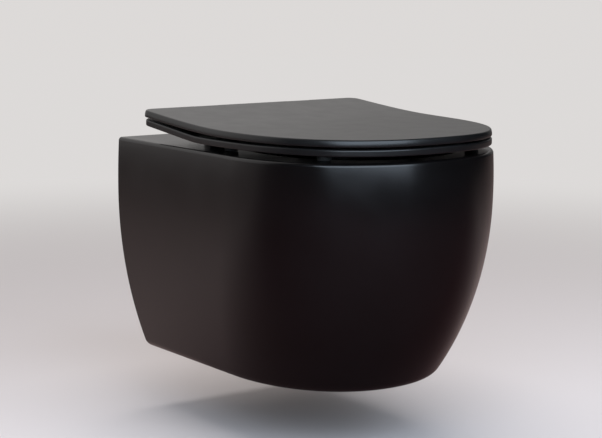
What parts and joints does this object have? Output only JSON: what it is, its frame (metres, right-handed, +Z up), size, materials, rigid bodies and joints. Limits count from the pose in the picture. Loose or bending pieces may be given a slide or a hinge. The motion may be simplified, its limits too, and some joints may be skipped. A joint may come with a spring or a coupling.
{
  "type": "wall-hung toilet",
  "caption": "Compact wall-hung toilet pan in satin black with a slim swept-up seat and lid on soft-close, quick-release hinges.",
  "frame": {"origin": "midway between the two wall studs, on the wall plane", "axes": "+X right seen from the front, +Y into the wall, +Z up; the front faces -Y"},
  "size_m": [0.3698, 0.4779, 0.3461],
  "materials": {
    "glaze": "satin",
    "duroplast": "satin",
    "rubber": "matte",
    "block": "matte",
    "brass": "machined",
    "steel": "brushed",
    "plated": "satin",
    "nylon_dark": "matte",
    "nylon_light": "matte"
  },
  "bodies": {
    "pan": {"pan_shell": "glaze", "pan_rim": "glaze", "pan_bowl": "glaze", "pan_sump": "glaze", "pan_trapway": "glaze", "flush_socket": "glaze", "flush_distributor": "duroplast", "inlet_seal": "rubber", "bracket_left": "block", "bracket_right": "block", "stud_inserts": "brass", "clamp_screws": "steel", "clamp_washers": "steel", "bolt_plugs": "rubber", "plug_nuts": "steel", "hinge_bolts": "steel", "base_gaskets": "rubber", "base_left": "plated", "base_right": "plated", "pillar_left": "nylon_dark", "pillar_right": "nylon_dark", "axle_left": "steel", "axle_right": "steel", "damper_left": "nylon_light", "damper_right": "nylon_light", "spring_left": "steel", "spring_right": "steel"},
    "seat": {"seat_ring": "duroplast", "seat_buffers": "rubber", "seat_bushes": "nylon_light"},
    "lid": {"lid": "duroplast", "lid_eyes": "nylon_dark", "lid_buffers": "rubber", "lid_bushes": "nylon_light"},
    "release_left": {"button_left": "plated"},
    "release_right": {"button_right": "plated"}
  },
  "joints": [
    {"name": "seat_hinge", "type": "hinge", "parent": "pan", "child": "seat", "pos_m": [0, -0.069, 0.1046], "axis": [-1, 0, 0], "range_deg": [0, 92]},
    {"name": "lid_hinge", "type": "hinge", "parent": "seat", "child": "lid", "pos_m": [0, -0.069, 0.1046], "axis": [-1, 0, 0], "range_deg": [0, 95]},
    {"name": "button_left_press", "type": "slide", "parent": "pan", "child": "release_left", "axis": [0, 0, -1], "range_m": [0, 0.002], "stiffness_N_per_m": 1500, "springref_m": -0.0005, "deforming": ["spring_left"]},
    {"name": "button_right_press", "type": "slide", "parent": "pan", "child": "release_right", "axis": [0, 0, -1], "range_m": [0, 0.002], "stiffness_N_per_m": 1500, "springref_m": -0.0005, "deforming": ["spring_right"]}
  ]
}
